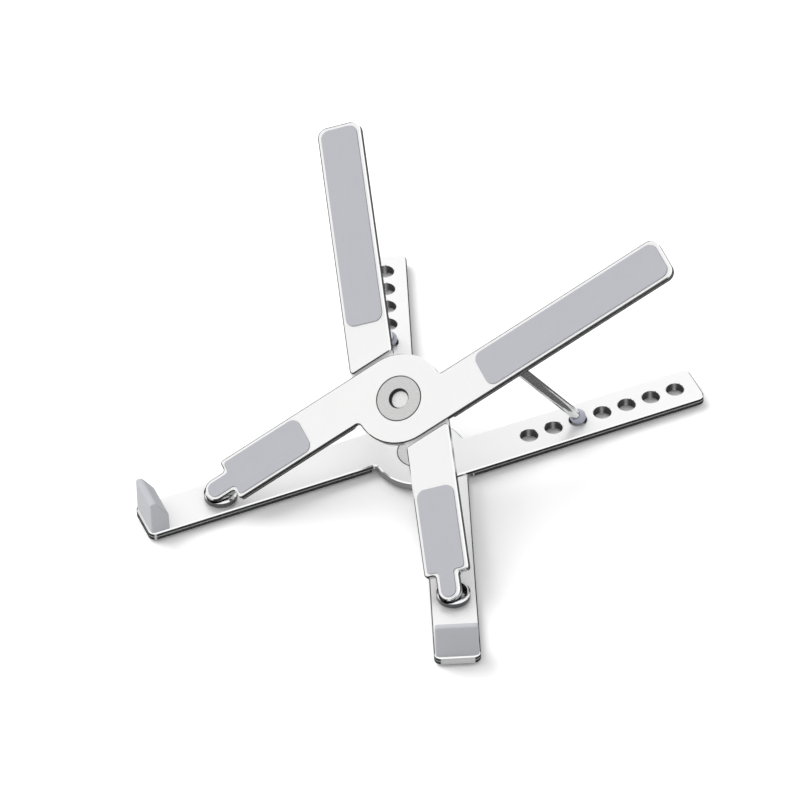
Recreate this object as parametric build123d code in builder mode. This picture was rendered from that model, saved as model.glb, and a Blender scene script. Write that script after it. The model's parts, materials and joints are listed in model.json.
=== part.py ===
"""Folding laptop stand: a flat lower X of two aluminium arms, a sloping upper X hinged to it
at two round front knuckles, and two swinging props that stand in a row of holes.

Frame: +Z up, +Y to the rear, +X to the right, origin on the lower X's pivot axis at table
height.  Side +1 is the arm whose rear end points right ("a"), side -1 is its mirror ("b").
Along an arm, d runs from the pivot to the rear and n across it, so that the front half of
each arm lies at positive n and the rear half at negative n; h is the height above its top.
"""
import os
from math import cos, radians, sin, sqrt

from build123d import *

os.makedirs("parts", exist_ok=True)

# ---- driving dimensions: millimetres and degrees ------------------------------------------
HALF_ANGLE = 34.95          # each arm to the centre line when the stand is open
TILT = 33.4                 # slope of the upper X, props in the third hole
ARM_WIDTH = 20.45
EDGE_GAP = 0.35             # pivot line to an arm's inner edge: closed arms lie 0.7 apart
NOTCH_R = 2.0               # fillet where an inner edge meets the hub
ARM_CHAMFER = 0.5
HALVING_HALF = 21.9         # half the width of the cut that lets one arm through the other
STEP_R = 1.5                # rounded corners of the cut's steps

LOWER_T = 4.4
LOWER_REAR = 131.6
LOWER_FRONT = 129.5
LOWER_CORNER_R = 3.2
FOOT_H = 1.2                # silicone feet below the lower arms
FOOT_SUNK = 0.4             # and the depth of their pockets
FOOT_W = 13.0
FRONT_FOOT_D, FRONT_FOOT_L, FRONT_FOOT_CORNER_R = -115.5, 22.0, 3.0
REAR_FOOT_D, REAR_FOOT_L, REAR_FOOT_CORNER_R = 128.3, 4.0, 1.5

UPPER_T = 4.0
UPPER_REAR = 134.3
UPPER_STEP = 84.5           # front shoulder, where the tongue starts
UPPER_CORNER_R = 4.5
SHOULDER_R = 1.6
TONGUE_R = 5.1

KNUCKLE_D = 92.0            # knuckle axis to pivot axis, along the arm
PIN_RISE = 1.84             # tilt pin above the lower arms' top
PIN_DROP = 6.6              # tilt pin below the upper arms' top
CUP_R, CUP_BORE_R, CUP_RIM, CUP_CHAMFER = 7.5, 6.2, 3.1, 0.7
TILT_UP = 8.0               # further tilt beyond TILT before the tongue meets its stop
TONGUE_ROOM = 0.3           # room that the cup's front leaves round the tongue
UNDER_TONGUE = 0.2          # and below it
CUP_SUNK, CUP_FLOOR = 0.9, 0.1
SPIGOT_R, BASE_RIVET_R, BASE_RIVET_T, BASE_SHANK_L = 3.0, 5.0, 0.85, 1.6
PIN_R, PIN_HALF = 0.75, 7.3
BARREL_R, BARREL_HALF, BARREL_WEB_L = 1.6, 5.6, 8.0
SWIVEL_PLATE_R, SWIVEL_PLATE_T = 4.4, 0.75
TOP_SPIGOT_R, TOP_RIVET_R, TOP_RIVET_T, TOP_BORE_FLOOR = 2.2, 2.9, 0.85, 0.5

HOLE_R, HOLE_FIRST, HOLE_PITCH, HOLE_COUNT = 4.1, 48.9, 12.0, 7
PROP_HOLE = 2               # hole that the props stand in, counted from 0 at the pivot end
HOLE_CHAMFER = 0.2

PAD_MARGIN = 1.6
PAD_SUNK, PAD_PROUD = 0.6, 0.5
FRONT_PAD_START, FRONT_PAD_END, REAR_PAD_START = 83.4, 44.5, 38.0
PAD_CORNER_R = 4.0

HOOK_OUTER, HOOK_INNER, HOOK_TOP, HOOK_SHOULDER = 128.6, 119.9, 17.0, 8.5
HOOK_WIDTH, HOOK_TOP_T, HOOK_LEAN = 19.0, 2.9, 0.3
HOOK_TOP_R, HOOK_SHOULDER_R, HOOK_CORNER_R = 1.1, 1.0, 1.7
TAB_OUTER, TAB_T, TAB_WIDTH, TAB_H = 126.8, 2.0, 13.2, 13.0
TAB_ROOT, TAB_CORNER_R = 1.0, 2.0

CAP_R = {"lower": 10.2, "upper": 10.35}
CAP_GROOVE, CAP_BORE_R, CAP_T, CAP_CHAMFER = 0.25, 4.5, 0.95, 0.2
RIVET_R, FLANGE_R, FLANGE_T, RECESS = 6.0, 9.0, 0.65, 2.0
WASHER_R, WASHER_T = 12.9, 0.28
RUN = 0.05                  # running clearance of every turning fit
HEAD_ROOM = 0.1             # clearance round and above rivet heads, flanges and washers
PAST = 1.0                  # how far a cut runs on past the surface that it opens
HUB_FOOT_R = 13.9

PROP_PIVOT_D = 50.0         # prop's upper pivot along the upper arm
PROP_DROP = 2.6             # its axis below the upper arm's underside
ROD_R, BALL_R, BALL_RISE = 2.3, 3.6, 2.0
ROD_IN_BALL = 1.0           # how far the rod runs past the ball's centre
BALL_ROOM = 0.2             # of the dimple that the ball folds into
EYE_HALF, EYE_REACH, EYE_PIN_R = 1.8, 3.4, 1.0
EAR_R, EAR_T, EAR_GAP, EAR_HEAD_R, EAR_HEAD_T = 2.5, 1.5, 0.15, 1.5, 0.45
PLATE_L, PLATE_W, PLATE_T, PLATE_CORNER_R = 15.0, 9.2, 0.8, 1.0
SCREW_SPACING, SCREW_HEAD_R, SCREW_R, SCREW_L = 11.0, 1.7, 0.9, 1.6
HEX_R, HEX_DEPTH = 0.75, 0.5

# ---- worked out from them ------------------------------------------------------------------
SIDES = {"a": 1, "b": -1}
HUB_R = EDGE_GAP + ARM_WIDTH
MIDDLE = EDGE_GAP + ARM_WIDTH / 2
NOTCH_D = sqrt(HUB_R**2 - EDGE_GAP**2)
OPEN = radians(HALF_ANGLE)
SLOPE = radians(TILT)
LOWER_TOP = FOOT_H + LOWER_T
BASE_HEAD_TOP = -LOWER_T + BASE_RIVET_T + HEAD_ROOM     # from the lower arms' top
PIN_Y = -KNUCKLE_D * cos(OPEN) + MIDDLE * sin(OPEN)

up_slope = Vector(0, cos(SLOPE), sin(SLOPE))
off_slope = Vector(0, -sin(SLOPE), cos(SLOPE))
pin_point = Vector(0, PIN_Y, LOWER_TOP + PIN_RISE)
LOWER = Plane(origin=(0, 0, LOWER_TOP), x_dir=(1, 0, 0), z_dir=(0, 0, 1))
UPPER = Plane(
    origin=pin_point + off_slope * PIN_DROP - up_slope * PIN_Y,
    x_dir=(1, 0, 0),
    z_dir=off_slope,
)


def arm_plane(base, side, h=0.0):
    """Plane of one arm: local x along d, local y along side * n, at height h."""
    along = base.x_dir * (side * sin(OPEN)) + base.y_dir * cos(OPEN)
    return Plane(origin=base.origin + base.z_dir * h, x_dir=along, z_dir=base.z_dir)


def place(base, side, d, n, h=0.0):
    """A point given along, across and above an arm."""
    return arm_plane(base, side).from_local_coords(Vector(d, side * n, h))


def knuckle_plane(base, side, h=0.0):
    """Plane centred on a knuckle's axis, with x along the tilt pin."""
    point = place(base, side, -KNUCKLE_D, MIDDLE, h)
    return Plane(origin=point, x_dir=(1, 0, 0), z_dir=base.z_dir)


def nearest(vertices, x, y):
    return vertices.sort_by_distance((x, y, 0))[0]


def save(part, name):
    part.label = name
    export_step(part, f"parts/{name}.step")


def disc(plane, radius, start, end, bore=0.0):
    """A round plate or ring between two heights of a plane."""
    with BuildPart() as ring:
        with BuildSketch(plane.offset(start)):
            Circle(radius)
            if bore:
                Circle(bore, mode=Mode.SUBTRACT)
        extrude(amount=end - start)
    return ring.part


def bore_at(plane, radius, start, end):
    """Remove a round hole between two heights from the part that is being built."""
    with BuildSketch(plane.offset(start)) as hole:
        Circle(radius)
    extrude(hole.sketch, amount=end - start, mode=Mode.SUBTRACT)


# ---- arms ------------------------------------------------------------------------------------
def draw_arm(sketch, side, front, rear, tongue, halved):
    """Outline of an arm in the given sketch, with the crossing cut if halved."""
    Circle(HUB_R)
    with Locations((rear / 2, -side * MIDDLE)):
        Rectangle(rear, ARM_WIDTH)
    with Locations((-front / 2, side * MIDDLE)):
        Rectangle(front, ARM_WIDTH)
    ends = [(rear, -side * EDGE_GAP), (rear, -side * HUB_R)]
    if tongue:
        with Locations((-(front + KNUCKLE_D) / 2, side * MIDDLE)):
            Rectangle(KNUCKLE_D - front, 2 * TONGUE_R)
        with Locations((-KNUCKLE_D, side * MIDDLE)):
            Circle(TONGUE_R)
        shoulders = [(-front, side * n) for n in (EDGE_GAP, HUB_R)]
        shoulders += [(-front, side * (MIDDLE + n)) for n in (-TONGUE_R, TONGUE_R)]
        fillet([nearest(sketch.vertices(), *p) for p in shoulders], SHOULDER_R)
        fillet([nearest(sketch.vertices(), *p) for p in ends], UPPER_CORNER_R)
    else:
        ends += [(-front, side * EDGE_GAP), (-front, side * HUB_R)]
        fillet([nearest(sketch.vertices(), *p) for p in ends], LOWER_CORNER_R)
    notches = [(NOTCH_D, -side * EDGE_GAP), (-NOTCH_D, side * EDGE_GAP)]
    fillet([nearest(sketch.vertices(), *p) for p in notches], NOTCH_R)
    if halved:
        turn = side * 2 * HALF_ANGLE
        Rectangle(6 * HUB_R, 2 * HALVING_HALF, rotation=turn, mode=Mode.SUBTRACT)
        across = Vector(-sin(radians(turn)), cos(radians(turn)))
        corners = [
            v for v in sketch.vertices()
            if abs(abs(Vector(v.X, v.Y).dot(across)) - HALVING_HALF) < 0.01
        ]
        fillet(corners, STEP_R)


def arm_blank(base, side, thickness, front, rear, tongue=False):
    """An arm of two half-thick layers; a's crossing cut is below and b's is above."""
    plane = arm_plane(base, side)
    half = thickness / 2
    with BuildPart() as blank:
        with BuildSketch(plane.offset(-half)) as above:
            draw_arm(above, side, front, rear, tongue, halved=side < 0)
        extrude(amount=half)
        with BuildSketch(plane.offset(-thickness)) as below:
            draw_arm(below, side, front, rear, tongue, halved=side > 0)
        extrude(amount=half)
        height = Axis(plane.origin, plane.z_dir)
        levels = blank.faces().filter_by(plane).group_by(height)
        chamfer(levels[-1].edges() + levels[0].edges(), ARM_CHAMFER)
    return blank.part


def draw_front_pad(sketch, side):
    """Front pad in the given sketch: it runs out along the tongue."""
    start = FRONT_PAD_START
    width = ARM_WIDTH - 2 * PAD_MARGIN
    tongue_r = TONGUE_R - PAD_MARGIN
    with Locations((-(start + FRONT_PAD_END) / 2, side * MIDDLE)):
        Rectangle(start - FRONT_PAD_END, width)
    with Locations((-(start + KNUCKLE_D) / 2, side * MIDDLE)):
        Rectangle(KNUCKLE_D - start, 2 * tongue_r)
    with Locations((-KNUCKLE_D, side * MIDDLE)):
        Circle(tongue_r)
    across = (MIDDLE - width / 2, MIDDLE + width / 2)
    fillet([nearest(sketch.vertices(), -start, side * n) for n in across], SHOULDER_R)
    inner = (MIDDLE - tongue_r, MIDDLE + tongue_r)
    fillet([nearest(sketch.vertices(), -start, side * n) for n in inner], SHOULDER_R)
    fillet([nearest(sketch.vertices(), -FRONT_PAD_END, side * n) for n in across], PAD_CORNER_R)


def draw_rear_pad(_, side):
    """Rear pad in the sketch that is being built: a long rounded rectangle."""
    end = UPPER_REAR - PAD_MARGIN
    with Locations(((REAR_PAD_START + end) / 2, -side * MIDDLE)):
        RectangleRounded(end - REAR_PAD_START, ARM_WIDTH - 2 * PAD_MARGIN, PAD_CORNER_R)


def draw_front_foot(_, side):
    with Locations((FRONT_FOOT_D, side * MIDDLE)):
        RectangleRounded(FRONT_FOOT_L, FOOT_W, FRONT_FOOT_CORNER_R)


def draw_rear_foot(_, side):
    with Locations((REAR_FOOT_D, -side * MIDDLE)):
        RectangleRounded(REAR_FOOT_L, FOOT_W, REAR_FOOT_CORNER_R)


def upright_tab(side):
    """The arm's metal tab inside the hook, drawn as a box from the arm's top."""
    middle = place(LOWER, side, -TAB_OUTER + TAB_T / 2, MIDDLE, (TAB_H - TAB_ROOT) / 2)
    plane = Plane(origin=middle, x_dir=arm_plane(LOWER, side).x_dir, z_dir=(0, 0, 1))
    with BuildPart(plane) as tab:
        Box(TAB_T, TAB_WIDTH, TAB_H + TAB_ROOT)
        top = tab.edges().filter_by(Axis(plane.origin, plane.x_dir)).group_by(Axis.Z)[-1]
        fillet(top, TAB_CORNER_R)
    return tab.part


def lower_arm(side):
    """Lower arm with its row of holes, knuckle seat, hub seat, foot pockets and hook tab."""
    plane = arm_plane(LOWER, side)
    seat = knuckle_plane(LOWER, side)
    with BuildPart() as arm:
        add(arm_blank(LOWER, side, LOWER_T, LOWER_FRONT, LOWER_REAR))
        row = [HOLE_FIRST + i * HOLE_PITCH for i in range(HOLE_COUNT)]
        with BuildSketch(plane):
            with Locations(*[(d, -side * MIDDLE) for d in row]):
                Circle(HOLE_R)
        extrude(amount=-LOWER_T, mode=Mode.SUBTRACT)
        with BuildSketch(plane):
            with Locations(*[(d, -side * MIDDLE) for d in row]):
                Circle(HOLE_R + HOLE_CHAMFER)
        extrude(amount=-HOLE_CHAMFER, taper=45, mode=Mode.SUBTRACT)
        bore_at(seat, CUP_R + RUN, -CUP_SUNK - RUN, PAST)
        bore_at(seat, SPIGOT_R + RUN, -LOWER_T, 0)
        bore_at(seat, BASE_RIVET_R + HEAD_ROOM, -LOWER_T, BASE_HEAD_TOP + RUN)
        hub_seat(LOWER, side, LOWER_T, CAP_R["lower"])
        with BuildSketch(plane.offset(-LOWER_T)) as feet:
            draw_front_foot(feet, side)
            draw_rear_foot(feet, side)
        extrude(amount=FOOT_SUNK, mode=Mode.SUBTRACT)
        if side < 0:
            bore_at(LOWER, HUB_FOOT_R, -LOWER_T, -LOWER_T + FOOT_SUNK)
        add(upright_tab(side))
    return arm.part


def hub_seat(base, side, thickness, cap_r):
    """Cut an arm's hub for the rivet: a holds its cap and washer, b turns on its shank."""
    if side > 0:
        bore_at(base, cap_r + CAP_GROOVE, -CAP_T, PAST)
        bore_at(base, RIVET_R, -thickness, 0)
        bore_at(base, WASHER_R + HEAD_ROOM, -thickness / 2, -thickness / 2 + WASHER_T)
    else:
        flange_top = -thickness + FLANGE_T + HEAD_ROOM + (FOOT_SUNK if base is LOWER else 0.0)
        bore_at(base, RIVET_R + RUN, -thickness, 0)
        bore_at(base, FLANGE_R + HEAD_ROOM, -thickness, flange_top)


def upper_arm(side):
    """Upper arm with pad pockets, knuckle hole, hub seat, bracket pocket and ball dimple."""
    plane = arm_plane(UPPER, side)
    seat = knuckle_plane(UPPER, side)
    with BuildPart() as arm:
        add(arm_blank(UPPER, side, UPPER_T, UPPER_STEP, UPPER_REAR, tongue=True))
        with BuildSketch(plane.offset(-PAD_SUNK)) as pockets:
            draw_front_pad(pockets, side)
            draw_rear_pad(pockets, side)
        extrude(amount=PAD_SUNK + PAST, mode=Mode.SUBTRACT)
        bore_at(seat, TOP_SPIGOT_R + RUN, -UPPER_T, 0)
        bore_at(seat, TOP_RIVET_R + HEAD_ROOM, -PAD_SUNK - TOP_RIVET_T - HEAD_ROOM, 0)
        hub_seat(UPPER, side, UPPER_T, CAP_R["upper"])
        with BuildSketch(plane.offset(-UPPER_T)):
            with Locations((PROP_PIVOT_D, -side * MIDDLE)):
                RectangleRounded(PLATE_L, PLATE_W, PLATE_CORNER_R)
        extrude(amount=PLATE_T, mode=Mode.SUBTRACT)
        with BuildSketch(plane.offset(-UPPER_T + PLATE_T)):
            with Locations((PROP_PIVOT_D, -side * MIDDLE)):
                with GridLocations(SCREW_SPACING, 1, 2, 1):
                    Circle(SCREW_R)
        extrude(amount=SCREW_L, mode=Mode.SUBTRACT)
        stowed = place(UPPER, side, PROP_PIVOT_D + PROP_L, -MIDDLE, -UPPER_T - PROP_DROP)
        with Locations(stowed):
            Sphere(BALL_R + BALL_ROOM, mode=Mode.SUBTRACT)
    return arm.part


def pad(side, draw, base, start, end):
    """A flat silicone pad or foot between two heights of an arm."""
    with BuildPart() as sheet:
        with BuildSketch(arm_plane(base, side, start)) as outline:
            draw(outline, side)
        extrude(amount=end - start)
    return sheet.part


def hook_cover(side):
    """Silicone hook that slips over the tab: upright outside, sloping inside."""
    plane = arm_plane(LOWER, side)
    profile_plane = Plane(
        origin=place(LOWER, side, 0, MIDDLE - HOOK_WIDTH / 2),
        x_dir=plane.x_dir,
        z_dir=plane.y_dir * side,
    )
    rise = 1 if profile_plane.y_dir.Z > 0 else -1
    with BuildPart() as cover:
        with BuildSketch(profile_plane) as profile:
            with BuildLine():
                Polyline(
                    (-HOOK_OUTER, 0),
                    (-HOOK_OUTER + HOOK_LEAN, rise * HOOK_TOP),
                    (-HOOK_OUTER + HOOK_LEAN + HOOK_TOP_T, rise * HOOK_TOP),
                    (-HOOK_INNER, rise * HOOK_SHOULDER),
                    (-HOOK_INNER, 0),
                    close=True,
                )
            make_face()
            top = [v for v in profile.vertices() if abs(v.Y) > HOOK_TOP - 0.1]
            fillet(top, HOOK_TOP_R)
            shoulder = [v for v in profile.vertices() if 1 < abs(v.Y) < HOOK_SHOULDER + 0.1]
            fillet(shoulder, HOOK_SHOULDER_R)
        extrude(amount=HOOK_WIDTH)
        add(upright_tab(side), mode=Mode.SUBTRACT)
        upright = [e for e in cover.edges().filter_by(Axis.Z, tolerance=2.0)
                   if e.length > HOOK_SHOULDER / 2]
        outer = [e for e in upright
                 if plane.to_local_coords(e.center()).X < -HOOK_OUTER + 2 * HOOK_LEAN]
        fillet(outer, HOOK_CORNER_R)
    return cover.part


# ---- knuckles: a cup that turns on the lower arm, and a swivel that turns under the tongue ----
def knuckle_base(side):
    seat = knuckle_plane(LOWER, side)
    pin_line = Plane(origin=seat.origin + Vector(0, 0, PIN_RISE), x_dir=(0, 1, 0), z_dir=(1, 0, 0))
    with BuildPart() as cup:
        add(disc(seat, CUP_R, -CUP_SUNK, CUP_RIM))
        rim = cup.edges().filter_by(GeomType.CIRCLE).group_by(Axis.Z)[-1]
        chamfer(rim, CUP_CHAMFER)
        bore_at(seat, CUP_BORE_R, -CUP_FLOOR, CUP_RIM + PAST)
        for step in (0.0, 0.5, 1.0):
            lean = radians(TILT + step * TILT_UP)
            swept = Plane(origin=pin_line.origin, x_dir=(1, 0, 0), z_dir=(0, -sin(lean), cos(lean)))
            underside = PIN_DROP - UPPER_T - UNDER_TONGUE
            bore_at(swept, TONGUE_R + TONGUE_ROOM, underside, 3 * CUP_RIM)
        add(disc(seat, SPIGOT_R, BASE_HEAD_TOP, -CUP_SUNK))
        bore_at(seat, SPIGOT_R / 2, BASE_HEAD_TOP, BASE_HEAD_TOP + BASE_SHANK_L)
        with BuildSketch(pin_line):
            Circle(PIN_R)
        extrude(amount=2 * CUP_R, both=True, mode=Mode.SUBTRACT)
    return cup.part


def base_rivet(side):
    seat = knuckle_plane(LOWER, side)
    with BuildPart() as rivet:
        add(disc(seat, BASE_RIVET_R, BASE_HEAD_TOP - BASE_RIVET_T, BASE_HEAD_TOP))
        add(disc(seat, SPIGOT_R / 2, BASE_HEAD_TOP, BASE_HEAD_TOP + BASE_SHANK_L))
    return rivet.part


def tilt_pin(side):
    seat = knuckle_plane(LOWER, side)
    pin_line = Plane(origin=seat.origin + Vector(0, 0, PIN_RISE), x_dir=(0, 1, 0), z_dir=(1, 0, 0))
    return disc(pin_line, PIN_R, -PIN_HALF, PIN_HALF)


def knuckle_swivel(side):
    """Plate under the tongue, with a spigot up through it and a barrel on the tilt pin."""
    seat = knuckle_plane(UPPER, side)
    axle = Plane(origin=seat.origin - seat.z_dir * PIN_DROP, x_dir=seat.y_dir, z_dir=(1, 0, 0))
    plate_top = -UPPER_T - RUN
    with BuildPart() as swivel:
        add(disc(seat, SWIVEL_PLATE_R, plate_top - SWIVEL_PLATE_T, plate_top))
        add(disc(seat, TOP_SPIGOT_R, plate_top, -PAD_SUNK - TOP_RIVET_T - RUN))
        with BuildSketch(seat.offset(-PIN_DROP)):
            Rectangle(BARREL_WEB_L, 2 * BARREL_R)
        extrude(amount=PIN_DROP + plate_top - SWIVEL_PLATE_T)
        add(disc(axle, BARREL_R, -BARREL_HALF, BARREL_HALF))
        with BuildSketch(axle):
            Circle(PIN_R + RUN)
        extrude(amount=2 * BARREL_HALF, both=True, mode=Mode.SUBTRACT)
        bore_at(seat, TOP_SPIGOT_R / 2, plate_top + TOP_BORE_FLOOR, 0)
    return swivel.part


def swivel_rivet(side):
    seat = knuckle_plane(UPPER, side)
    head = -PAD_SUNK - TOP_RIVET_T - RUN
    with BuildPart() as rivet:
        add(disc(seat, TOP_RIVET_R, head, head + TOP_RIVET_T))
        add(disc(seat, TOP_SPIGOT_R / 2, -UPPER_T - RUN + TOP_BORE_FLOOR, head))
    return rivet.part


# ---- hub pivots -------------------------------------------------------------------------------
def hub_rivet(base, thickness, foot_pocket):
    """Semi-hollow rivet: shank through both arms, flange below, open recess above."""
    flange = -thickness + foot_pocket + RUN
    with BuildPart() as rivet:
        add(disc(base, RIVET_R, flange, -CAP_T))
        add(disc(base, FLANGE_R, flange, flange + FLANGE_T))
        bore_at(base, CAP_BORE_R, -RECESS, 0)
    return rivet.part


def hub_cap(base, radius):
    """Flush ring that closes the rivet's top, with a fine bevel at both edges."""
    with BuildPart() as cap:
        add(disc(base, radius, -CAP_T, 0, bore=CAP_BORE_R))
        top = cap.faces().filter_by(base).sort_by(Axis(base.origin, base.z_dir))[-1]
        chamfer(top.edges(), CAP_CHAMFER)
    return cap.part


def hub_washer(base, thickness):
    low = -thickness / 2
    return disc(base, WASHER_R, low, low + WASHER_T, bore=RIVET_R + HEAD_ROOM)


# ---- props ------------------------------------------------------------------------------------
def prop_frame(side):
    """Pivot, ball centre and the directions of the rod, the upper arm and the hinge pin."""
    pivot = place(UPPER, side, PROP_PIVOT_D, -MIDDLE, -UPPER_T - PROP_DROP)
    ball = place(LOWER, side, HOLE_FIRST + PROP_HOLE * HOLE_PITCH, -MIDDLE, BALL_RISE)
    rod = (ball - pivot).normalized()
    along = arm_plane(UPPER, side).x_dir
    return pivot, ball, rod, along, rod.cross(along).normalized()


PROP_L = (prop_frame(1)[1] - prop_frame(1)[0]).length


def prop_rod(side):
    """Round rod with a flattened, drilled eye at its top."""
    pivot, _, rod, _, hinge = prop_frame(side)
    plane = Plane(origin=pivot, x_dir=hinge, z_dir=rod)
    with BuildPart() as strut:
        add(disc(plane, ROD_R, 0, PROP_L + ROD_IN_BALL))
        with Locations(pivot):
            Sphere(ROD_R)
        for flank in (1, -1):
            with BuildSketch(plane.offset(-ROD_R - PAST)):
                with Locations((flank * (EYE_HALF + ROD_R), 0)):
                    Rectangle(2 * ROD_R, 4 * ROD_R)
            extrude(amount=ROD_R + PAST + EYE_REACH, mode=Mode.SUBTRACT)
        with BuildSketch(Plane(origin=pivot, x_dir=rod, z_dir=hinge)):
            Circle(EYE_PIN_R + RUN)
        extrude(amount=2 * ROD_R, both=True, mode=Mode.SUBTRACT)
    return strut.part


def prop_tip(side):
    pivot, ball, rod, _, hinge = prop_frame(side)
    plane = Plane(origin=pivot, x_dir=hinge, z_dir=rod)
    with BuildPart() as tip:
        with Locations(ball):
            Sphere(BALL_R)
        bore_at(plane, ROD_R, PROP_L - 2 * BALL_R, PROP_L + ROD_IN_BALL)
    return tip.part


def prop_bracket(side):
    """Plate let into the arm's underside, with two ears square to the hinge pin."""
    pivot, _, _, along, hinge = prop_frame(side)
    ear_plane = Plane(origin=pivot, x_dir=along, z_dir=hinge)
    lift = 1 if ear_plane.y_dir.dot(UPPER.z_dir) > 0 else -1
    plate = arm_plane(UPPER, side, -UPPER_T)
    with BuildPart() as bracket:
        for flank in (1, -1):
            with BuildSketch(ear_plane.offset(flank * (EYE_HALF + EAR_GAP))):
                Circle(EAR_R)
                with Locations((0, lift * EAR_R)):
                    Rectangle(2 * EAR_R, 2 * EAR_R)
            extrude(amount=flank * EAR_T)
        split(bisect_by=plate.offset(PLATE_T), keep=Keep.BOTTOM)
        with BuildSketch(plate):
            with Locations((PROP_PIVOT_D, -side * MIDDLE)):
                RectangleRounded(PLATE_L, PLATE_W, PLATE_CORNER_R)
                with GridLocations(SCREW_SPACING, 1, 2, 1):
                    Circle(SCREW_HEAD_R, mode=Mode.SUBTRACT)
        extrude(amount=PLATE_T)
        with BuildSketch(ear_plane):
            Circle(EYE_PIN_R)
        extrude(amount=3 * EAR_R, both=True, mode=Mode.SUBTRACT)
    return bracket.part


def prop_pin(side):
    pivot, _, _, along, hinge = prop_frame(side)
    line = Plane(origin=pivot, x_dir=along, z_dir=hinge)
    ear = EYE_HALF + EAR_GAP + EAR_T
    with BuildPart() as pin:
        add(disc(line, EYE_PIN_R, -ear, ear))
        for flank in (1, -1):
            add(disc(line, EAR_HEAD_R, flank * ear, flank * (ear + EAR_HEAD_T)))
    return pin.part


def bracket_screws(side):
    """Two short screws, as a group of separate solids."""
    under = arm_plane(UPPER, side, -UPPER_T)
    with BuildPart() as screws:
        with BuildSketch(under):
            with Locations((PROP_PIVOT_D, -side * MIDDLE)):
                with GridLocations(SCREW_SPACING, 1, 2, 1):
                    Circle(SCREW_HEAD_R)
        extrude(amount=PLATE_T)
        with BuildSketch(under):
            with Locations((PROP_PIVOT_D, -side * MIDDLE)):
                with GridLocations(SCREW_SPACING, 1, 2, 1):
                    RegularPolygon(HEX_R, 6)
        extrude(amount=HEX_DEPTH, mode=Mode.SUBTRACT)
        with BuildSketch(under.offset(PLATE_T)):
            with Locations((PROP_PIVOT_D, -side * MIDDLE)):
                with GridLocations(SCREW_SPACING, 1, 2, 1):
                    Circle(SCREW_R)
        extrude(amount=SCREW_L)
    return screws.part


# ---- build ------------------------------------------------------------------------------------
foot_base, foot_top = -LOWER_T - FOOT_H, -LOWER_T + FOOT_SUNK
for tag, hand in SIDES.items():
    save(lower_arm(hand), f"lower_arm_{tag}")
    save(hook_cover(hand), f"hook_cover_{tag}")
    save(pad(hand, draw_front_foot, LOWER, foot_base, foot_top), f"front_foot_{tag}")
    save(pad(hand, draw_rear_foot, LOWER, foot_base, foot_top), f"rear_foot_{tag}")
    save(knuckle_base(hand), f"knuckle_base_{tag}")
    save(base_rivet(hand), f"knuckle_rivet_{tag}")
    save(tilt_pin(hand), f"tilt_pin_{tag}")
    save(knuckle_swivel(hand), f"knuckle_swivel_{tag}")
    save(swivel_rivet(hand), f"swivel_rivet_{tag}")
    save(upper_arm(hand), f"upper_arm_{tag}")
    save(pad(hand, draw_front_pad, UPPER, -PAD_SUNK, PAD_PROUD), f"front_pad_{tag}")
    save(pad(hand, draw_rear_pad, UPPER, -PAD_SUNK, PAD_PROUD), f"rear_pad_{tag}")
    save(prop_rod(hand), f"prop_rod_{tag}")
    save(prop_tip(hand), f"prop_tip_{tag}")
    save(prop_bracket(hand), f"prop_bracket_{tag}")
    save(prop_pin(hand), f"prop_pin_{tag}")
    save(bracket_screws(hand), f"bracket_screws_{tag}")

save(hub_rivet(LOWER, LOWER_T, FOOT_SUNK), "lower_rivet")
save(hub_cap(LOWER, CAP_R["lower"]), "lower_cap")
save(hub_washer(LOWER, LOWER_T), "lower_washer")
save(hub_rivet(UPPER, UPPER_T, 0.0), "upper_rivet")
save(hub_cap(UPPER, CAP_R["upper"]), "upper_cap")
save(hub_washer(UPPER, UPPER_T), "upper_washer")
save(disc(LOWER, HUB_FOOT_R, foot_base, foot_top), "hub_foot")
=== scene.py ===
"""Folding laptop stand: silicone parts, metal finishes and a pale studio round the packed frame."""
import json
from math import acos, atan2, ceil, cos, pi, radians, sin, tan

import bmesh
import bpy
from bpy.props import FloatProperty, FloatVectorProperty, IntProperty, PointerProperty
from mathutils import Matrix, Vector


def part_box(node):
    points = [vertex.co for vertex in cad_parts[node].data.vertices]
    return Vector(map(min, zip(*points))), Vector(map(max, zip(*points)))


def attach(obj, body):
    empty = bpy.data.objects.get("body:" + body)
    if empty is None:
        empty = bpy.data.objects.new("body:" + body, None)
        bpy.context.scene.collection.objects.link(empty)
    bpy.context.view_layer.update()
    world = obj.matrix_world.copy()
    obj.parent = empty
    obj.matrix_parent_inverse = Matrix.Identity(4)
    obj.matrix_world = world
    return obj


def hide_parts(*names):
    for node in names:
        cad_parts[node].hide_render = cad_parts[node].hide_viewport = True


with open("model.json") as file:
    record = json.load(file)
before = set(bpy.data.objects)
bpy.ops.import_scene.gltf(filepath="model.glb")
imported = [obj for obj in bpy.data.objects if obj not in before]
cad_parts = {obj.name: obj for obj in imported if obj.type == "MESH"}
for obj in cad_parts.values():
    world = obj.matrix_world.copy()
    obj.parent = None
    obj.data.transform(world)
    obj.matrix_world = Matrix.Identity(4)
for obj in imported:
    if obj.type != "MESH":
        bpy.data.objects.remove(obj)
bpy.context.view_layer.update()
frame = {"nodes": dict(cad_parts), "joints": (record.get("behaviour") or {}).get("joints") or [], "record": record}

bl_info = {
    "name": "Folding Laptop Stand",
    "version": (1, 0, 0),
    "blender": (4, 5, 0),
    "location": "3D View > Sidebar > Stand",
    "description": "Pads, hooks, feet, screws and metal finishes of a folding laptop stand",
    "category": "Object",
}

JOINTS = {joint["name"]: joint for joint in frame["joints"]}
MOUNTS = {mount["name"]: mount for mount in frame["record"]["mounts"]}
SIDES = {"a": 1, "b": -1}

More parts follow.
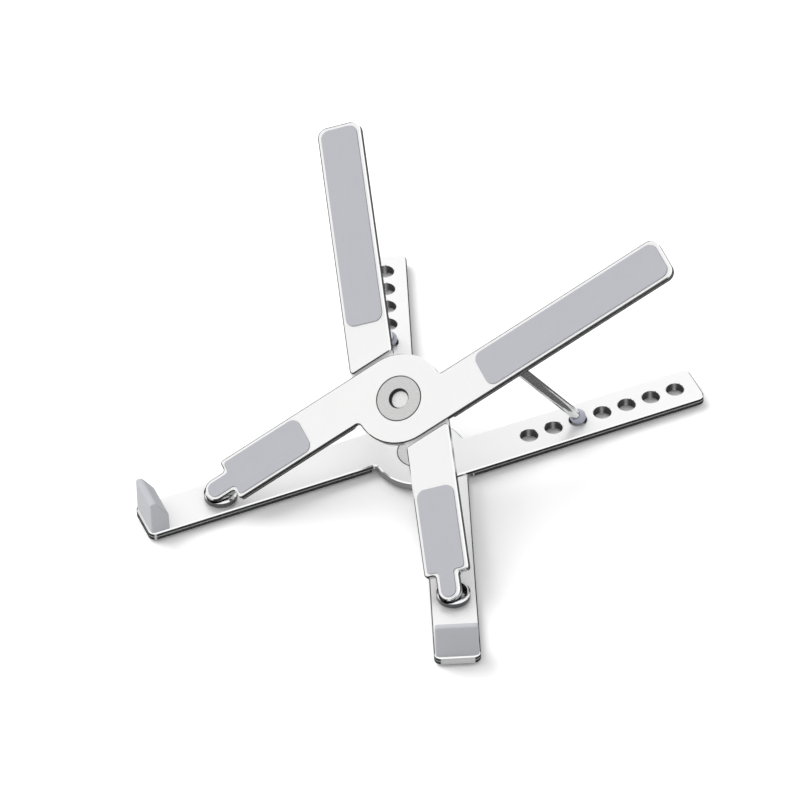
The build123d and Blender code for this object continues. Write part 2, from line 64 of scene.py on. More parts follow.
ARC_STEP = radians(9)  # largest turn between two points of an arc
SMOOTH_BELOW = radians(32)  # flatter edges than this are shaded smooth
WELD = 1e-7  # corners of a CAD mesh nearer than this, in metres, are one point
NIL = 1e-9  # less than this, in metres, is no length
FULL_ROUND = 0.999  # share of the radius that keeps the two corners of a round tip apart

# Where the marks on the metal start and end, in metres; the bore, rim and cup marks are painted shade
MIDLINE_DEPTH = 0.0021
MIDLINE_CORE, MIDLINE_FADE = 0.0001, 0.0004
BORE_SHADE_CORE, BORE_SHADE_EDGE = 0.00005, 0.00025
RIM_SHADE_EDGE, RIM_SHADE_CORE = 0.0004, 0.0002
# heights where a cup's painted shade gives way to its polished rim
CUP_WALL_TOP, CUP_RIM_FOOT = 0.0079, 0.0081

# Shares of metal in the arms' finish
FLAT_METAL, WALL_METAL, CUT_METAL, MIDLINE_METAL = 0.64, 0.34, 0.36, 0.45

NYLON_SHADE, NYLON_LIGHT = (0.80, 0.80, 0.76, 1.0), (0.88, 0.88, 0.85, 1.0)

# Light tent: height from nadir 0 to zenith 1, and share of the brightness below or of the sky
TENT_SKIRT = ((0.0, 1.0), (0.48, 1.0), (0.515, 2.0))
TENT_SKY = ((0.60, 0.8), (0.72, 1.0))
TENT_RING = 0.84
TENT_CROWN = ((0.93, 0.72), (1.0, 0.75))
TENT_STRENGTH = 1.10
PANEL_SIDE = Vector((0.45, -0.55, -0.70)).normalized()
PANEL_EDGE, PANEL_CORE, PANEL_GAIN = 0.955, 0.995, 0.7
KEY_AIM = Vector((0.75, 0.0, -0.80))

# Camera
CAMERA_PLACE = Vector((1.1507, -1.7053, 2.0037))
CAMERA_AIM = Vector((-0.40672, 0.59779, -0.69082))
CAMERA_UP = Vector((-0.35122, 0.59576, 0.72230))
CAMERA_SENSOR = 36.0
CAMERA_NEAR, CAMERA_FAR = 0.1, 50.0


# ---- places ----------------------------------------------
def axes(origin, along, up):
    """Matrix from local coordinates, x along and z up, to the frame."""
    up = Vector(up).normalized()
    across = up.cross(Vector(along)).normalized()
    matrix = Matrix((across.cross(up), across, up)).transposed().to_4x4()
    matrix.translation = Vector(origin)
    return matrix


def arm_axes(level, tag):
    """An arm's own axes: x from the pivot to the rear, y across, z up from its top face."""
    flat = Vector(MOUNTS[f"laptop_stop_{tag}"]["axis"])
    pivot = JOINTS["fold" if level == "lower" else "upper_fold"]
    up = -Vector(pivot["axis"])
    slope = up.cross(Vector((1, 0, 0)))
    along = Vector((1, 0, 0)) * flat.x + slope * flat.y
    return axes(pivot["pos_m"], along, up)


def prop_axes(tag):
    """A prop's axes from the centre of its ball: z up the rod to the pivot, x along the hinge."""
    joint = JOINTS[f"prop_{tag}_swing"]
    low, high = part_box(f"prop_tip_{tag}")
    ball = (low + high) / 2
    return axes(ball, joint["axis"], Vector(joint["pos_m"]) - ball)


def arm_middle():
    """From the pivot line to the middle line of an arm."""
    pads = bpy.context.scene.stand_pads
    return pads.arm_gap + pads.arm_width / 2


# ---- meshes ----------------------------------------------
def arc(centre, radius, start, sweep):
    """Points of a circular arc, both ends included."""
    steps = max(1, ceil(abs(sweep) / ARC_STEP))
    turns = [start + sweep * i / steps for i in range(steps + 1)]
    return [(centre[0] + radius * cos(t), centre[1] + radius * sin(t)) for t in turns]


def rounded_loop(corners):
    """A closed outline from corners (x, y, radius), each rounded by its radius."""
    loop = []
    for i, (x, y, radius) in enumerate(corners):
        point = Vector((x, y))
        before = (Vector(corners[i - 1][:2]) - point).normalized()
        after = (Vector(corners[(i + 1) % len(corners)][:2]) - point).normalized()
        half = acos(max(-1.0, min(1.0, before.dot(after)))) / 2
        middle = point + (before + after).normalized() * radius / sin(half)
        first = point + before * radius / tan(half) - middle
        last = point + after * radius / tan(half) - middle
        start = atan2(first.y, first.x)
        sweep = (atan2(last.y, last.x) - start + pi) % (2 * pi) - pi
        loop += arc(middle, radius, start, sweep)
    return loop


def prism(outline, low, high, soft_low=False, soft_high=True):
    """Bmesh of an outline between two heights, with bevel weight on the rims to soften."""
    bm = bmesh.new()
    weight = bm.edges.layers.float.new("bevel_weight_edge")
    rings = [[bm.verts.new((x, y, z)) for x, y in outline] for z in (low, high)]
    for ring, soft in zip(rings, (soft_low, soft_high)):
        face = bm.faces.new(ring)
        for edge in face.edges:
            edge[weight] = float(soft)
    count = len(outline)
    for i in range(count):
        k = (i + 1) % count
        bm.faces.new((rings[0][i], rings[0][k], rings[1][k], rings[1][i]))
    bmesh.ops.recalc_face_normals(bm, faces=bm.faces)
    return bm


def lathe(profile, segments):
    """Bmesh of a profile of (radius, height) points, from axis to axis, turned round z."""
    bm = bmesh.new()
    rings = []
    for radius, height in profile:
        if radius < NIL:
            rings.append([bm.verts.new((0, 0, height))])
            continue
        turns = [2 * pi * i / segments for i in range(segments)]
        rings.append([bm.verts.new((radius * cos(t), radius * sin(t), height)) for t in turns])
    for one, two in zip(rings, rings[1:]):
        for i in range(segments):
            k = (i + 1) % segments
            corners = [one[i % len(one)], one[k % len(one)], two[k % len(two)], two[i % len(two)]]
            bm.faces.new(list(dict.fromkeys(corners)))
    bmesh.ops.recalc_face_normals(bm, faces=bm.faces)
    return bm


def settle(piece):
    """Turn a piece's modifiers into plain mesh."""
    graph = bpy.context.evaluated_depsgraph_get()
    mesh = bpy.data.meshes.new_from_object(
        piece.evaluated_get(graph), preserve_all_data_layers=True, depsgraph=graph
    )
    piece.modifiers.clear()
    piece.data = mesh
    mesh.name = piece.name


def new_piece(name, bm, material, matrix, soften=0.0, segments=4):
    """A smooth-shaded object from a bmesh, its weighted rims rounded, put in place."""
    mesh = bpy.data.meshes.new(name)
    bm.to_mesh(mesh)
    bm.free()
    if "custom_normal" in mesh.attributes:
        mesh.attributes.remove(mesh.attributes["custom_normal"])
    mesh.shade_smooth()
    mesh.set_sharp_from_angle(angle=SMOOTH_BELOW)
    mesh.materials.append(material)
    piece = bpy.data.objects.new(name, mesh)
    bpy.context.scene.collection.objects.link(piece)
    if soften:
        bevel = piece.modifiers.new("rounding", "BEVEL")
        bevel.limit_method = "WEIGHT"
        bevel.width = soften
        bevel.segments = segments
        bevel.harden_normals = True
        bpy.context.view_layer.update()
        settle(piece)
    piece.data.transform(matrix)
    return piece


def fit(piece, body, slot, *nodes):
    """Ride the piece on its body and let it stand for its CAD nodes."""
    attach(piece, body)
    if nodes:
        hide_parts(*nodes)


# ---- node trees ------------------------------------------
class Value:
    """A node's output socket. Arithmetic on number sockets adds Math nodes."""

    def __init__(self, work, socket):
        self.work = work
        self.socket = socket

    def math(self, operation, *terms):
        """A Math node on the given terms."""
        return self.work.add("ShaderNodeMath", {"operation": operation}, dict(enumerate(terms)))

    def __add__(self, other):
        return self.math("ADD", self, other)

    def __sub__(self, other):
        return self.math("SUBTRACT", self, other)

    def __rsub__(self, other):
        return self.math("SUBTRACT", other, self)

    def __mul__(self, other):
        return self.math("MULTIPLY", self, other)

    def __abs__(self):
        return self.math("ABSOLUTE", self)

    __radd__ = __add__
    __rmul__ = __mul__


class NodeWork:
    """Adds nodes to one tree."""

    def __init__(self, tree):
        self.tree = tree
        tree.nodes.clear()

    def add(self, kind, settings=None, inputs=None, output=0):
        """One node: its settings, then its inputs' values or links; a list fills a multi-input."""
        node = self.tree.nodes.new(kind)
        for key, value in (settings or {}).items():
            if key == "stops":
                ramp = node.color_ramp.elements
                for i, (position, colour) in enumerate(value):
                    stop = ramp[i] if i < len(ramp) else ramp.new(position)
                    stop.position = position
                    stop.color = colour
            else:
                setattr(node, key, value)
        for key, given in (inputs or {}).items():
            for value in given if isinstance(given, list) else [given]:
                if isinstance(value, Value):
                    self.tree.links.new(value.socket, node.inputs[key])
                else:
                    node.inputs[key].default_value = value
        return Value(self, node.outputs[output]) if node.outputs else node


class Finish(NodeWork):
    """Builds one material."""

    def __init__(self, name):
        self.material = bpy.data.materials.new(name)
        self.material.use_nodes = True
        super().__init__(self.material.node_tree)
        self.coordinates = self.add("ShaderNodeTexCoord", output="Object")

    def placed(self, matrix):
        """Object coordinates as seen from local axes in the frame."""
        inverse = matrix.inverted()
        return self.add("ShaderNodeMapping", {}, {
            "Vector": self.coordinates,
            "Location": inverse.translation,
            "Rotation": inverse.to_euler(),
        })

    def noise(self, scale, detail=2.0, roughness=0.5, vector=None, stretch=None):
        """Noise with about scale grains to the metre, denser along the long axes of stretch."""
        vector = vector or self.coordinates
        if stretch:
            vector = self.add("ShaderNodeMapping", {}, {"Vector": vector, "Scale": stretch})
        return self.add("ShaderNodeTexNoise", {}, {
            "Vector": vector, "Scale": scale, "Detail": detail, "Roughness": roughness,
        })

    def range(self, value, low, high, out_low=0.0, out_high=1.0):
        """A soft step from out_low to out_high as the value goes from low to high."""
        return self.add("ShaderNodeMapRange", {"interpolation_type": "SMOOTHSTEP"}, {
            "Value": value, "From Min": low, "From Max": high,
            "To Min": out_low, "To Max": out_high,
        })

    def mix(self, factor, one, two):
        """From the first colour to the second as the factor goes from 0 to 1."""
        return self.add("ShaderNodeMix", {"data_type": "RGBA"}, {0: factor, 6: one, 7: two},
                        output=2)

    def bump(self, height, distance, strength):
        """Relief from heights of 0 to 1, distance metres high."""
        return self.add("ShaderNodeBump", {}, {
            "Height": height, "Distance": distance, "Strength": strength,
        })

    def shade(self, **sockets):
        """Finish with a Principled shader; names use _ for spaces."""
        inputs = {name.replace("_", " "): value for name, value in sockets.items()}
        surface = self.add("ShaderNodeBsdfPrincipled", {}, inputs)
        self.add("ShaderNodeOutputMaterial", {}, {"Surface": surface})
        return self.material


def rgba(colour, gain=1.0):
    """A colour with alpha, made lighter or darker."""
    return (*[min(1.0, c * gain) for c in colour[:3]], 1.0)


# ---- finishes --------------------------------------------
def anodised_plate():
    """Bead-blasted, clear-anodised aluminium with bright-cut bevels and polished walls, the walls darker as
    painted shade.
    """
    metal = bpy.context.scene.stand_metals
    work = Finish("anodised plate")
    cloud = work.noise(38.0, detail=3.0)
    blast = work.noise(5200.0, detail=2.0, roughness=0.6)
    cut = work.add("ShaderNodeAttribute", {"attribute_name": "bright_cut"}, output="Fac")
    wall = work.add("ShaderNodeAttribute", {"attribute_name": "wall"}, output="Fac")
    depth = work.add("ShaderNodeAttribute", {"attribute_name": "depth"}, output="Fac")
    drawn = work.noise(900.0, detail=2.0, stretch=(1.0, 1.0, 9.0))
    from_midline = abs(depth - MIDLINE_DEPTH)
    line = work.range(from_midline, MIDLINE_CORE, MIDLINE_FADE, 1.0, 0.0) * wall
    flat = work.mix(cloud, rgba(metal.plate, 0.97), rgba(metal.plate, 1.03))
    speckled = work.mix(work.range(blast, 0.35, 0.65), rgba(metal.plate, 0.95), flat)
    bright = work.mix(cut, speckled, rgba(metal.bevel))
    # walls take the darker wall colour, partly painted shade for their dark reflections; the hub walls take less
    # of it, painted lighter
    colour = work.mix(wall, bright, rgba(metal.wall))
    satin = metal.satin + cloud * 0.08 + blast * 0.06
    rough = satin * (1.0 - cut) * (1.0 - wall) + cut * 0.12 + wall * (0.13 + drawn * 0.1)
    metallic = FLAT_METAL + wall * WALL_METAL + cut * CUT_METAL - line * MIDLINE_METAL
    return work.shade(
        Base_Color=colour, Roughness=rough, Metallic=metallic,
        Normal=work.bump(blast * (1.0 - cut) * (1.0 - wall), distance=0.00001, strength=0.35),
    )


def turned_ring(name, matrix, pitch, gain=1.0, inner=0.0, outer=1.0, metallic=0.85):
    """Face-turned metal: fine rings round the axis, with painted shade in its bore and on its rim."""
    metal = bpy.context.scene.stand_metals
    work = Finish(name)
    local = work.placed(matrix)
    flat = work.add("ShaderNodeVectorMath", {"operation": "MULTIPLY"}, {0: local, 1: (1, 1, 0)})
    radius = work.add("ShaderNodeVectorMath", {"operation": "LENGTH"}, {0: flat}, "Value")
    phase = radius * (2 * pi / pitch)
    ring = phase.math("SINE", phase)
    chatter = work.noise(700.0, detail=2.0)
    face = work.mix(work.range(ring, -1.0, 1.0), rgba(metal.ring, 0.95 * gain),
                    rgba(metal.ring, gain))
    # painted shade: dark at the edge of a ring's bore and at its outer rim, and round a rivet's face, where shadow
    # falls in the recesses
    painted_bore_shade = work.range(radius, inner + BORE_SHADE_CORE, inner + BORE_SHADE_EDGE, 1.0, 0.0)
    rim = work.range(radius, outer - RIM_SHADE_EDGE, outer - RIM_SHADE_CORE)
    colour = work.mix(painted_bore_shade + rim, face, rgba(metal.ring, 0.1))
    return work.shade(
        Base_Color=colour, Metallic=metallic, Roughness=0.24 + chatter * 0.1 + ring * 0.03,
        Normal=work.bump(ring + chatter * 0.6, distance=0.000006, strength=0.5),
    )


def polished(name, colour, rough, matrix=None, stretch=(1.0, 1.0, 1.0), metallic=1.0):
    """Polished metal with faint lengthwise polishing marks and handling haze."""
    work = Finish(name)
    vector = work.placed(matrix) if matrix else work.coordinates
    marks = work.noise(2600.0, detail=2.0, vector=vector, stretch=stretch)
    haze = work.noise(160.0, detail=3.0, vector=vector)
    tone = work.mix(haze, rgba(colour, 0.95), rgba(colour, 1.02))
    return work.shade(
        Base_Color=tone, Metallic=metallic, Roughness=rough + haze * 0.06 + marks * 0.05,
        Normal=work.bump(marks, distance=0.000004, strength=0.3),
    )


def brushed(name, colour, stretch):
    """Brushed sheet steel, with its streaks along the axis where stretch is least."""
    work = Finish(name)
    streaks = work.noise(2400.0, detail=3.0, stretch=stretch)
    patch = work.noise(90.0)
    tone = work.mix(streaks, rgba(colour, 0.82), rgba(colour, 1.08))
    return work.shade(
        Base_Color=tone, Metallic=1.0, Roughness=0.24 + streaks * 0.14 + patch * 0.06,
        Normal=work.bump(streaks, distance=0.000008, strength=0.4),
    )


def silicone(name, colour, grain=3400.0, rough=0.62):
    """Matt moulded silicone: spark-eroded grain, soft mottling and a trace of dust."""
    work = Finish(name)
    pores = work.noise(grain, detail=3.0, roughness=0.65)
    mottle = work.noise(75.0, detail=3.0)
    dust = work.range(work.noise(900.0, detail=4.0, roughness=0.7), 0.60, 0.74)
    body = work.mix(mottle, rgba(colour, 0.96), rgba(colour, 1.03))
    tone = work.mix(work.range(pores, 0.30, 0.62), rgba(colour, 0.92), body)
    dusty = work.mix(dust * 0.12, tone, rgba(colour, 1.35))
    return work.shade(
        Base_Color=dusty, Roughness=rough + pores * 0.16 + dust * 0.1,
        Sheen_Weight=0.12, Sheen_Roughness=0.5, Specular_IOR_Level=0.35,
        Normal=work.bump(pores, distance=0.00002, strength=0.45),
    )


def nylon():
    """Natural nylon sheet with a fine moulded texture."""
    work = Finish("natural nylon")
    grain = work.noise(3000.0, detail=2.0)
    cloud = work.noise(240.0)
    tone = work.mix(cloud, NYLON_SHADE, NYLON_LIGHT)
    return work.shade(
        Base_Color=tone, Roughness=0.42 + grain * 0.1, Subsurface_Weight=0.15,
        Normal=work.bump(grain, distance=0.000008, strength=0.3),
    )


def dress(material, *names):
    """Give CAD nodes a finish."""
    for name in names:
        for place in frame["nodes"][name].material_slots:
            place.material = material


# ---- sizes and colours -----------------------------------
def length(name, description, millimetres):
    """A size, given in millimetres and kept in metres."""
    return FloatProperty(
        name=name, description=description, default=millimetres / 1000,
        min=0.0, subtype="DISTANCE", unit="LENGTH", precision=5,
    )


def colour(name, description, default):
    """A colour, as linear red, green and blue."""
    return FloatVectorProperty(
        name=name, description=description, default=default, min=0.0, max=1.0, size=3,
        subtype="COLOR",
    )


class StandMetals(bpy.types.PropertyGroup):
    """Colours of the bare metal."""

    plate: colour("Plate", "Clear-anodised face of the arms", (0.862, 0.861, 0.86))
    bevel: colour("Bevel", "Bright-cut bevel round the arms", (0.94, 0.945, 0.95))
    # the walls' darker colour is partly painted shade
    wall: colour("Wall", "Polished side walls of the arms", (0.60, 0.60, 0.605))
    ring: colour("Ring", "Turned rings of the two hubs", (0.66, 0.66, 0.657))
    chrome: colour("Chrome", "Knuckle cups and prop rods", (0.80, 0.805, 0.81))
    # the cups' walls are painted near black: painted shade, which also darkens their reflection in the arms
    cup: colour("Cup", "Walls of the knuckle cups, painted dark as shade", (0.11, 0.11, 0.115))
    steel: colour("Steel", "Brackets, swivels, rivets and pins", (0.60, 0.605, 0.61))
    screw: colour("Screw", "Socket screws of the brackets", (0.42, 0.42, 0.43))
    bore: colour("Bore", "Burnished adjustment holes", (0.62, 0.62, 0.625))
    satin: FloatProperty(
        name="Satin", description="Roughness of the blasted faces", default=0.27,
        min=0.0, max=1.0, subtype="FACTOR",
    )


class StandPads(bpy.types.PropertyGroup):
    """Silicone pads let into the upper arms."""

    tint: colour("Colour", "Silicone of the pads", (0.372, 0.375, 0.405))
    arm_width: length("Arm width", "Width of an arm", 20.45)
    arm_gap: length("Arm gap", "From the pivot line to an arm's inner edge", 0.35)
    margin: length("Margin", "Metal rim left round a pad's pocket", 1.6)
    gap: length("Gap", "Shadow gap between a pad and its pocket", 0.09)
    sunk: length("Sunk", "Depth of the pockets", 0.6)
    proud: length("Proud", "Height of the pads above the arm", 0.5)
    rounding: length("Rounding", "Radius of a pad's top edge", 0.22)
    corner: length("Corner", "Corner radius of a pad", 4.0)
    neck_corner: length("Neck corner", "Corner radius where a front pad narrows", 1.6)
    front_start: length("Front pad start", "Pivot to a front pad's shoulder", 83.4)
    front_end: length("Front pad end", "Pivot to a front pad's inner end", 44.5)
    tongue: length("Tongue", "Pivot to the centre of a front pad's round tip", 92.0)
    tongue_radius: length("Tongue radius", "Radius of a front pad's round tip", 3.5)
    rear_start: length("Rear pad start", "Pivot to a rear pad's inner end", 38.0)
    rear_end: length("Rear pad end", "Pivot to a rear pad's outer end", 132.7)


class StandHooks(bpy.types.PropertyGroup):
    """Silicone hooks that slip over the tabs at the arms' front ends."""

    tint: colour("Colour", "Silicone of the hooks", (0.40, 0.405, 0.43))
    outer: length("Outer", "Pivot to a hook's outer face", 128.6)
    inner: length("Inner", "Pivot to a hook's inner face", 119.9)
    top: length("Top", "Height of a hook", 17.0)
    shoulder: length("Shoulder", "Height where the inner face starts to slope", 8.5)
    crest: length("Crest", "Thickness at the top", 2.9)
    lean: length("Lean", "Draft of the outer face", 0.3)
    width: length("Width", "Width across the arm", 19.0)
    rounding: length("Rounding", "Radius of the outer corners", 1.7)
    tab_width: length("Tab width", "Width of the pocket for the metal tab", 13.3)
    tab_outer: length("Tab outer", "Pivot to the pocket's outer wall", 126.85)
    tab_thickness: length("Tab thickness", "Thickness of the pocket", 2.1)
    tab_height: length("Tab height", "Depth of the pocket", 13.1)


class StandFeet(bpy.types.PropertyGroup):
    """Silicone feet under the lower arms."""

    tint: colour("Colour", "Silicone of the feet", (0.30, 0.30, 0.32))
    plate: length("Plate", "Thickness of a lower arm", 4.4)
    sunk: length("Sunk", "Depth of the foot pockets", 0.4)
    width: length("Width", "Width across the arm", 13.0)
    front_middle: length("Front middle", "Pivot to the middle of a front foot", 115.5)
    front_length: length("Front length", "Length of a front foot", 22.0)
    front_corner: length("Front corner", "Corner radius of a front foot", 3.0)
    rear_middle: length("Rear middle", "Pivot to the middle of a rear foot", 128.3)
    rear_length: length("Rear length", "Length of a rear foot", 4.0)
    rear_corner: length("Rear corner", "Corner radius of a rear foot", 1.5)
    hub_radius: length("Hub radius", "Radius of the round foot under the hub", 13.9)
    rounding: length("Rounding", "Radius of a foot's lower edge", 0.35)
    grooves: IntProperty(name="Grooves", description="Grip grooves in the hub foot", default=4)
    land: FloatProperty(name="Land", description="Plain rim of the hub foot, in groove pitches",
                        default=1.5, min=0.5)


class StandHubs(bpy.types.PropertyGroup):
    """Turned rings and rivets of the two hubs."""

    bore: length("Bore", "Radius of a ring's bore", 4.5)
    lower_rim: length("Lower rim", "Radius of the lower ring", 10.2)
    upper_rim: length("Upper rim", "Radius of the upper ring", 10.35)
    # beyond this radius the rivet is painted dark, as shade in its recess
    rivet_rim: length("Rivet rim", "Radius of a rivet's bright face", 4.1)
    ring_feed: length("Ring feed", "Between the tool marks on a ring", 0.22)
    rivet_feed: length("Rivet feed", "Between the tool marks on a rivet", 0.35)


class StandProps(bpy.types.PropertyGroup):
    """Ball tips of the swinging props."""

    tint: colour("Colour", "Silicone of the ball tips", (0.41, 0.425, 0.50))
    ball: length("Ball", "Radius of a ball tip", 3.6)
    rod: length("Rod", "Radius of a prop rod", 2.3)
    socket: length("Socket", "How far the rod runs past the ball's centre", 1.0)
    lip: length("Lip", "Radius of the rolled lip round the rod", 0.3)
    seam: length("Seam", "Depth of the mould seam", 0.05)
    seam_spread: FloatProperty(name="Seam spread", description="Half the angle of the mould seam",
                               default=radians(2.5), subtype="ANGLE", unit="ROTATION")


class StandHoles(bpy.types.PropertyGroup):
    """Row of adjustment holes in each lower arm."""

    radius: length("Radius", "Radius of a hole", 4.1)
    first: length("First", "Pivot to the first hole", 48.9)
    pitch: length("Pitch", "From one hole to the next", 12.0)
    count: IntProperty(name="Count", description="Holes in one arm", default=7, min=1)
    skin: length("Skin", "Thickness of the burnished bore", 0.04)
    inset: length("Inset", "Bore left bare at both faces", 0.3)


class StandScrews(bpy.types.PropertyGroup):
    """Two socket screws through each prop bracket."""

    pivot: length("Bracket", "Pivot to the middle of a bracket", 50.0)
    spacing: length("Spacing", "Between a bracket's screws", 11.0)
    head: length("Head", "Radius of a screw head", 1.7)
    head_height: length("Head height", "Thickness of a screw head", 0.8)
    shank: length("Shank", "Radius of the shank", 0.9)
    shank_length: length("Shank length", "Length below the head", 1.6)
    hexagon: length("Hexagon", "Corner radius of the socket", 0.75)
    depth: length("Depth", "Depth of the socket", 0.5)
    plate: length("Plate", "Thickness of an upper arm", 4.0)


class StandStudio(bpy.types.PropertyGroup):
    """Floor, light and camera."""

    floor: colour("Floor", "Floor paint", (0.88, 0.88, 0.88))
    floor_size: FloatProperty(name="Floor size", description="Side of the floor", default=16.0,
                              subtype="DISTANCE", unit="LENGTH")
    sky: FloatProperty(name="Sky", description="Brightness of the tent overhead", default=0.95)
    below: FloatProperty(name="Below", description="Brightness under the horizon", default=0.03)
    glow: FloatProperty(name="Glow", description="Light from under the floor", default=0.02)
    key: FloatProperty(name="Key", description="Strength of the key light", default=2.5)
    key_spread: FloatProperty(name="Key spread", description="Softness of the key light",
                              default=radians(52), subtype="ANGLE", unit="ROTATION")
    lens: FloatProperty(name="Lens", description="Focal length in millimetres", default=287.2)


GROUPS = {
    "stand_metals": StandMetals,
    "stand_pads": StandPads,
    "stand_hooks": StandHooks,
    "stand_feet": StandFeet,
    "stand_hubs": StandHubs,
    "stand_props": StandProps,
    "stand_holes": StandHoles,
    "stand_screws": StandScrews,
    "stand_studio": StandStudio,
}


# ---- stage -----------------------------------------------
class STAND_OT_stage(bpy.types.Operator):
    """Set up the floor, the light tent, the key light and the camera"""

    bl_idname = "stand.stage"
    bl_label = "Stage"

    def execute(self, context):
        studio = context.scene.stand_studio
        self.lay_floor(studio)
        self.hang_tent(studio)
        self.aim_key(studio)
        self.place_camera(studio)
        context.scene.view_settings.view_transform = "Standard"
        return {"FINISHED"}

    def lay_floor(self, studio):
        """Matt pale floor that the polished metal doesn't mirror."""
        bm = bmesh.new()
        bmesh.ops.create_grid(bm, x_segments=1, y_segments=1, size=studio.floor_size / 2)
        work = Finish("floor paint")
        speck = work.noise(320.0, detail=2.0)
        tone = work.mix(speck, rgba(studio.floor, 0.99), rgba(studio.floor))
        paint = work.shade(
            Base_Color=tone, Roughness=0.9, Specular_IOR_Level=0.0,
            Emission_Color=rgba(studio.floor), Emission_Strength=studio.glow,
        )
        floor = new_piece("floor", bm, paint, Matrix())
        floor.visible_glossy = False

    def hang_tent(self, studio):
        """White tent above a dark skirt, with one soft panel low at the front."""
        world = bpy.data.worlds.new("light tent")
        world.use_nodes = True
        bpy.context.scene.world = world
        work = NodeWork(world.node_tree)
        facing = work.add("ShaderNodeTexCoord", output="Generated")
        height = work.add("ShaderNodeSeparateXYZ", {}, {0: facing}, output="Z")
        levels = [
            *((place, studio.below * share) for place, share in TENT_SKIRT),
            *((place, studio.sky * share) for place, share in TENT_SKY),
            (TENT_RING, 1.0),
            *((place, studio.sky * share) for place, share in TENT_CROWN),
        ]
        stops = [(place, rgba((level, level, level))) for place, level in levels]
        tent = work.add("ShaderNodeValToRGB", {"stops": stops}, {0: height * 0.5 + 0.5})
        towards = work.add("ShaderNodeVectorMath", {"operation": "DOT_PRODUCT"}, {
            0: facing, 1: PANEL_SIDE,
        }, output="Value")
        panel = work.add("ShaderNodeMapRange", {"interpolation_type": "SMOOTHSTEP"}, {
            "Value": towards, "From Min": PANEL_EDGE, "From Max": PANEL_CORE,
            "To Min": 0.0, "To Max": PANEL_GAIN,
        })
        lit = work.add("ShaderNodeMix", {"data_type": "RGBA"}, {
            0: panel, 6: tent, 7: (1.0, 1.0, 1.0, 1.0),
        }, output=2)
        light = work.add("ShaderNodeBackground", {}, {"Color": lit, "Strength": TENT_STRENGTH})
        work.add("ShaderNodeOutputWorld", {}, {"Surface": light})

    def aim_key(self, studio):
        """Broad key light from the left, kept out of reflections."""
        sun = bpy.data.lights.new("key", "SUN")
        sun.energy = studio.key
        sun.angle = studio.key_spread
        lamp = bpy.data.objects.new("key", sun)
        bpy.context.scene.collection.objects.link(lamp)
        lamp.visible_glossy = False
        lamp.rotation_mode = "QUATERNION"
        lamp.rotation_quaternion = KEY_AIM.to_track_quat("-Z", "Y")

    def place_camera(self, studio):
        """Long-lens camera, high in front and to the right of the stand."""
        camera = bpy.data.cameras.new("camera")
        camera.lens = studio.lens
        camera.sensor_width = CAMERA_SENSOR
        camera.clip_start, camera.clip_end = CAMERA_NEAR, CAMERA_FAR
        seat = bpy.data.objects.new("camera", camera)
        bpy.context.scene.collection.objects.link(seat)
        forward = CAMERA_AIM.normalized()
        right = forward.cross(CAMERA_UP).normalized()
        matrix = Matrix((right, right.cross(forward), -forward)).transposed().to_4x4()
        matrix.translation = CAMERA_PLACE
        seat.matrix_world = matrix
        bpy.context.scene.camera = seat


# ---- arms ------------------------------------------------
class STAND_OT_arms(bpy.types.Operator):
    """Merge the four arms' meshes, mark their bevels and walls, and finish them"""

    bl_idname = "stand.arms"
    bl_label = "Arms"

    wall_lean = 0.35  # faces that lean less from upright than this are walls
    bevel_lean = 0.92  # and the ones between it and this are bevels
    hub_wall_share = 0.3  # the walls of the round hubs are left duller
    hub_reach = 0.001  # share of the walls' finish on the round hubs' walls: duller, and lighter as painted light

    def execute(self, context):
        material = anodised_plate()
        for level in ("lower", "upper"):
            for tag in SIDES:
                self.make(f"{level}_arm_{tag}", arm_axes(level, tag), material)
        return {"FINISHED"}

    def make(self, node, matrix, material):
        """Mark each face by how it leans from the arm's top, and each point by its depth."""
        pads = bpy.context.scene.stand_pads
        hub = pads.arm_gap + pads.arm_width
        local = matrix.inverted()
        up = matrix.to_3x3().col[2]
        bm = bmesh.new()
        bm.from_mesh(frame["nodes"][node].data)
        bmesh.ops.remove_doubles(bm, verts=bm.verts, dist=WELD)
        cut = bm.faces.layers.float.new("bright_cut")
        wall = bm.faces.layers.float.new("wall")
        depth = bm.verts.layers.float.new("depth")
        for vert in bm.verts:
            vert[depth] = -(local @ vert.co).z
        for face in bm.faces:
            lean = abs(face.normal.dot(up))
            place = local @ face.calc_center_median()
            on_hub = abs(place.to_2d().length - hub) < self.hub_reach
            # hub walls get less of the dark wall finish: duller, and lighter as painted light
            polish = self.hub_wall_share if on_hub else 1.0
            face[cut] = float(self.wall_lean < lean < self.bevel_lean)
            face[wall] = polish if lean <= self.wall_lean else 0.0
        piece = new_piece(f"{node}_plate", bm, material, Matrix())
        fit(piece, node, "arm", node)


